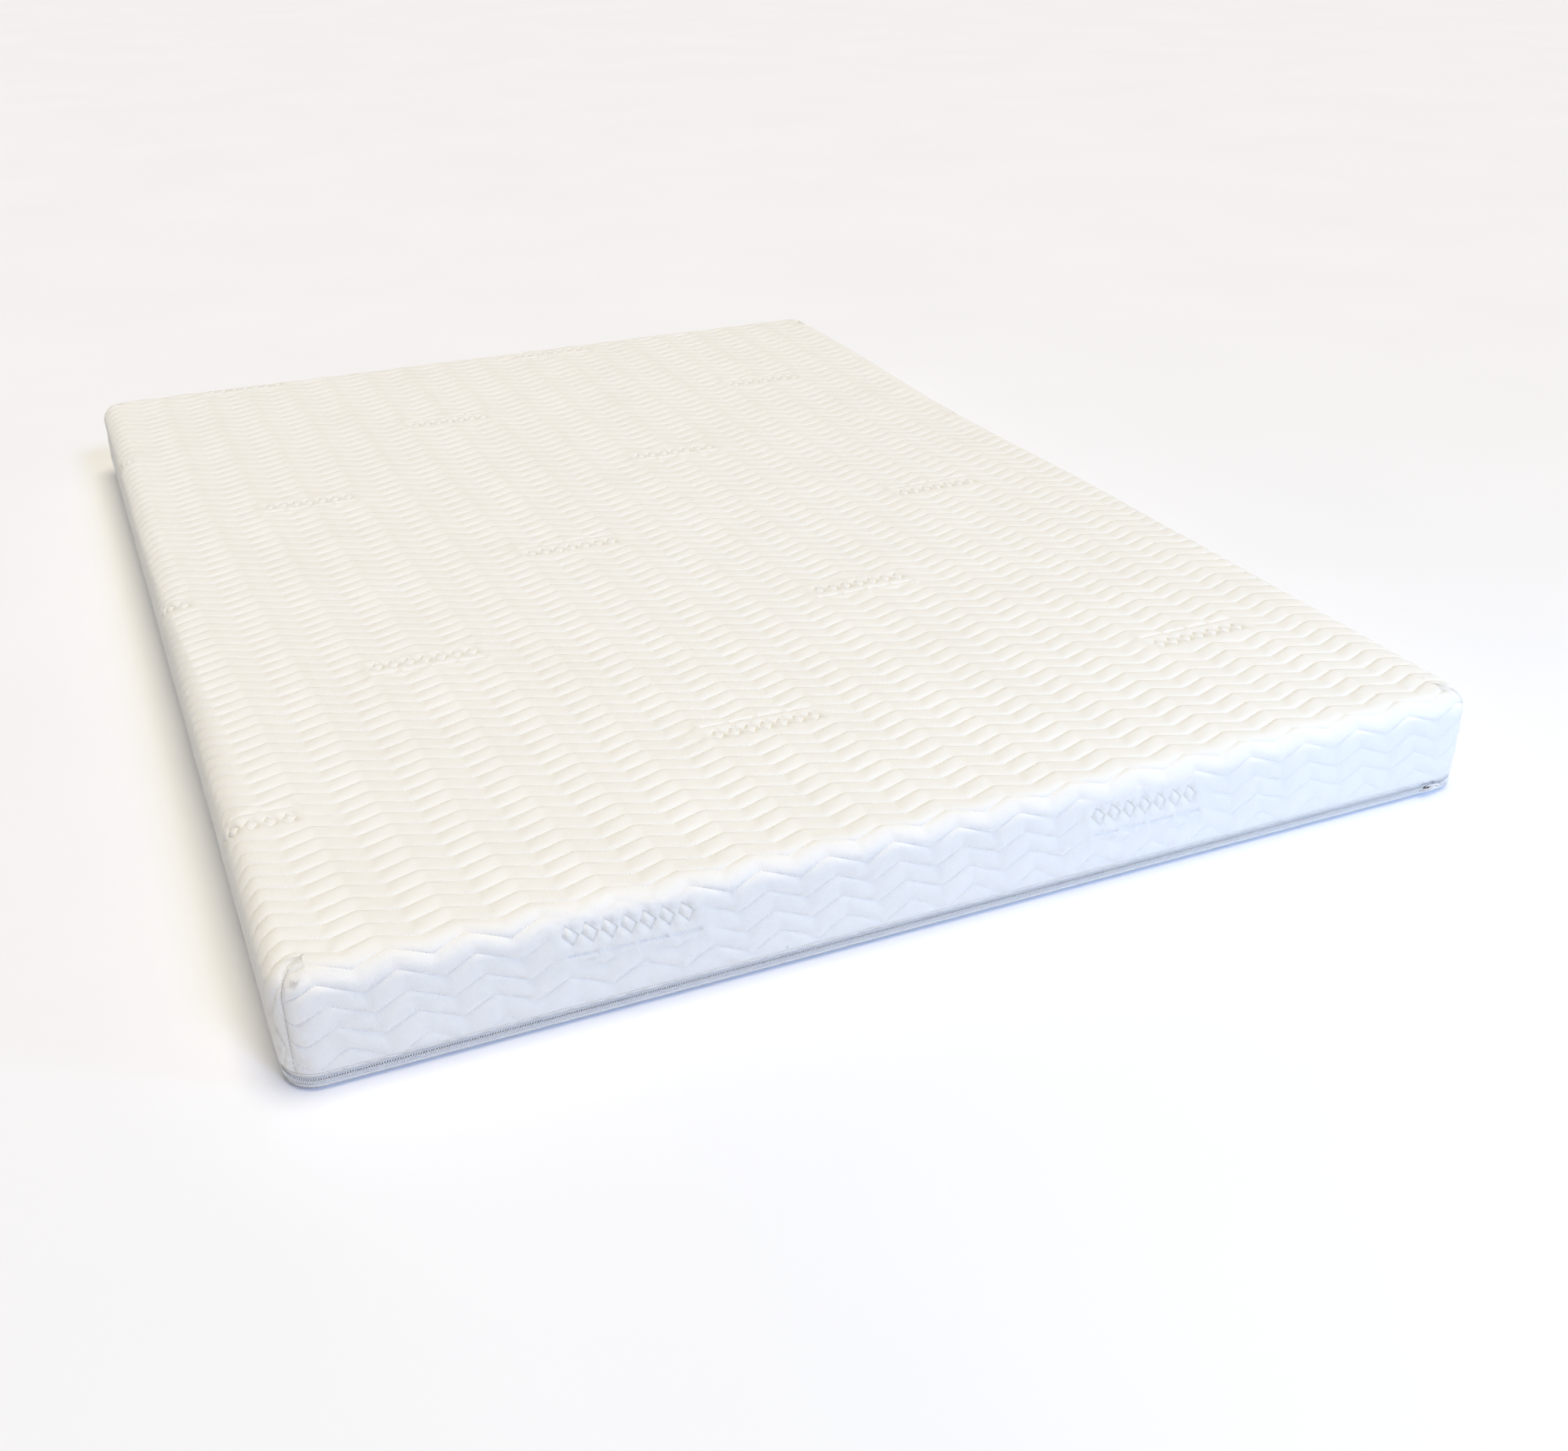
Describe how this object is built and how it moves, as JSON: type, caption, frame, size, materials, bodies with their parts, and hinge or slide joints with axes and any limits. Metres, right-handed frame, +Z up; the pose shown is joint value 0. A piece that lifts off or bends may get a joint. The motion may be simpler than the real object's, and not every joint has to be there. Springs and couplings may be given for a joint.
{
  "type": "memory foam mattress",
  "caption": "Foam mattress for a double bed: a quilted zip-off knit cover over a memory foam layer and a base foam core, closed by a zip along its lower edge.",
  "frame": {"origin": "middle of the underside, on the surface the mattress lies on", "axes": "+Z up, +Y along the length towards the head end, +X across the width; the zip slider is on the -Y end near the +X corner"},
  "size_m": [1.35, 1.9033, 0.125],
  "materials": {
    "quilted_knit": "matte ivory double-jersey knit, quilted in zigzag rows",
    "base_fabric": "matte plain off-white woven fabric",
    "zip_tape": "white woven polyester tape with a light sheen",
    "zip_coil": "white nylon coil, satin",
    "zip_slider": "white lacquered slider and pull tab, satin",
    "sewing_thread": "white polyester sewing thread",
    "label_satin": "blank white satin ribbon",
    "memory_foam": null,
    "base_foam": null
  },
  "bodies": {
    "foam_and_base": {"base_foam_core": "base_foam", "memory_foam_layer": "memory_foam", "cover_base_panel": "base_fabric", "zip_stitching_lower": "sewing_thread", "zip_tape_lower": "zip_tape", "zip_coil_lower": "zip_coil", "zip_stop_lower_closed_end": "zip_coil", "zip_stop_lower_open_end": "zip_coil"},
    "cover_top": {"cover_top_shell": "quilted_knit", "corner_seam_thread_front_left": "sewing_thread", "corner_seam_thread_front_right": "sewing_thread", "corner_seam_thread_back_right": "sewing_thread", "corner_seam_thread_back_left": "sewing_thread", "zip_stitching_upper": "sewing_thread", "care_label": "label_satin", "zip_tape_upper": "zip_tape", "zip_coil_upper": "zip_coil", "zip_stop_upper_closed_end": "zip_coil", "zip_stop_upper_open_end": "zip_coil"},
    "zip_slider": {"zip_slider_body": "zip_slider"},
    "pull_tab": {"zip_pull_tab": "zip_slider"}
  },
  "joints": [
    {"name": "cover_lift_off", "type": "slide", "parent": "foam_and_base", "child": "cover_top", "axis": [0, 0, 1], "range_m": [0, 0.16]},
    {"name": "slider_run", "type": "slide", "parent": "foam_and_base", "child": "zip_slider", "axis": [-1, 0, 0], "range_m": [0, 1.24]},
    {"name": "pull_tab_swing", "type": "hinge", "parent": "zip_slider", "child": "pull_tab", "pos_m": [0.618, -0.95, 0.0112], "axis": [0, 0, -1], "range_deg": [0, 170]}
  ]
}
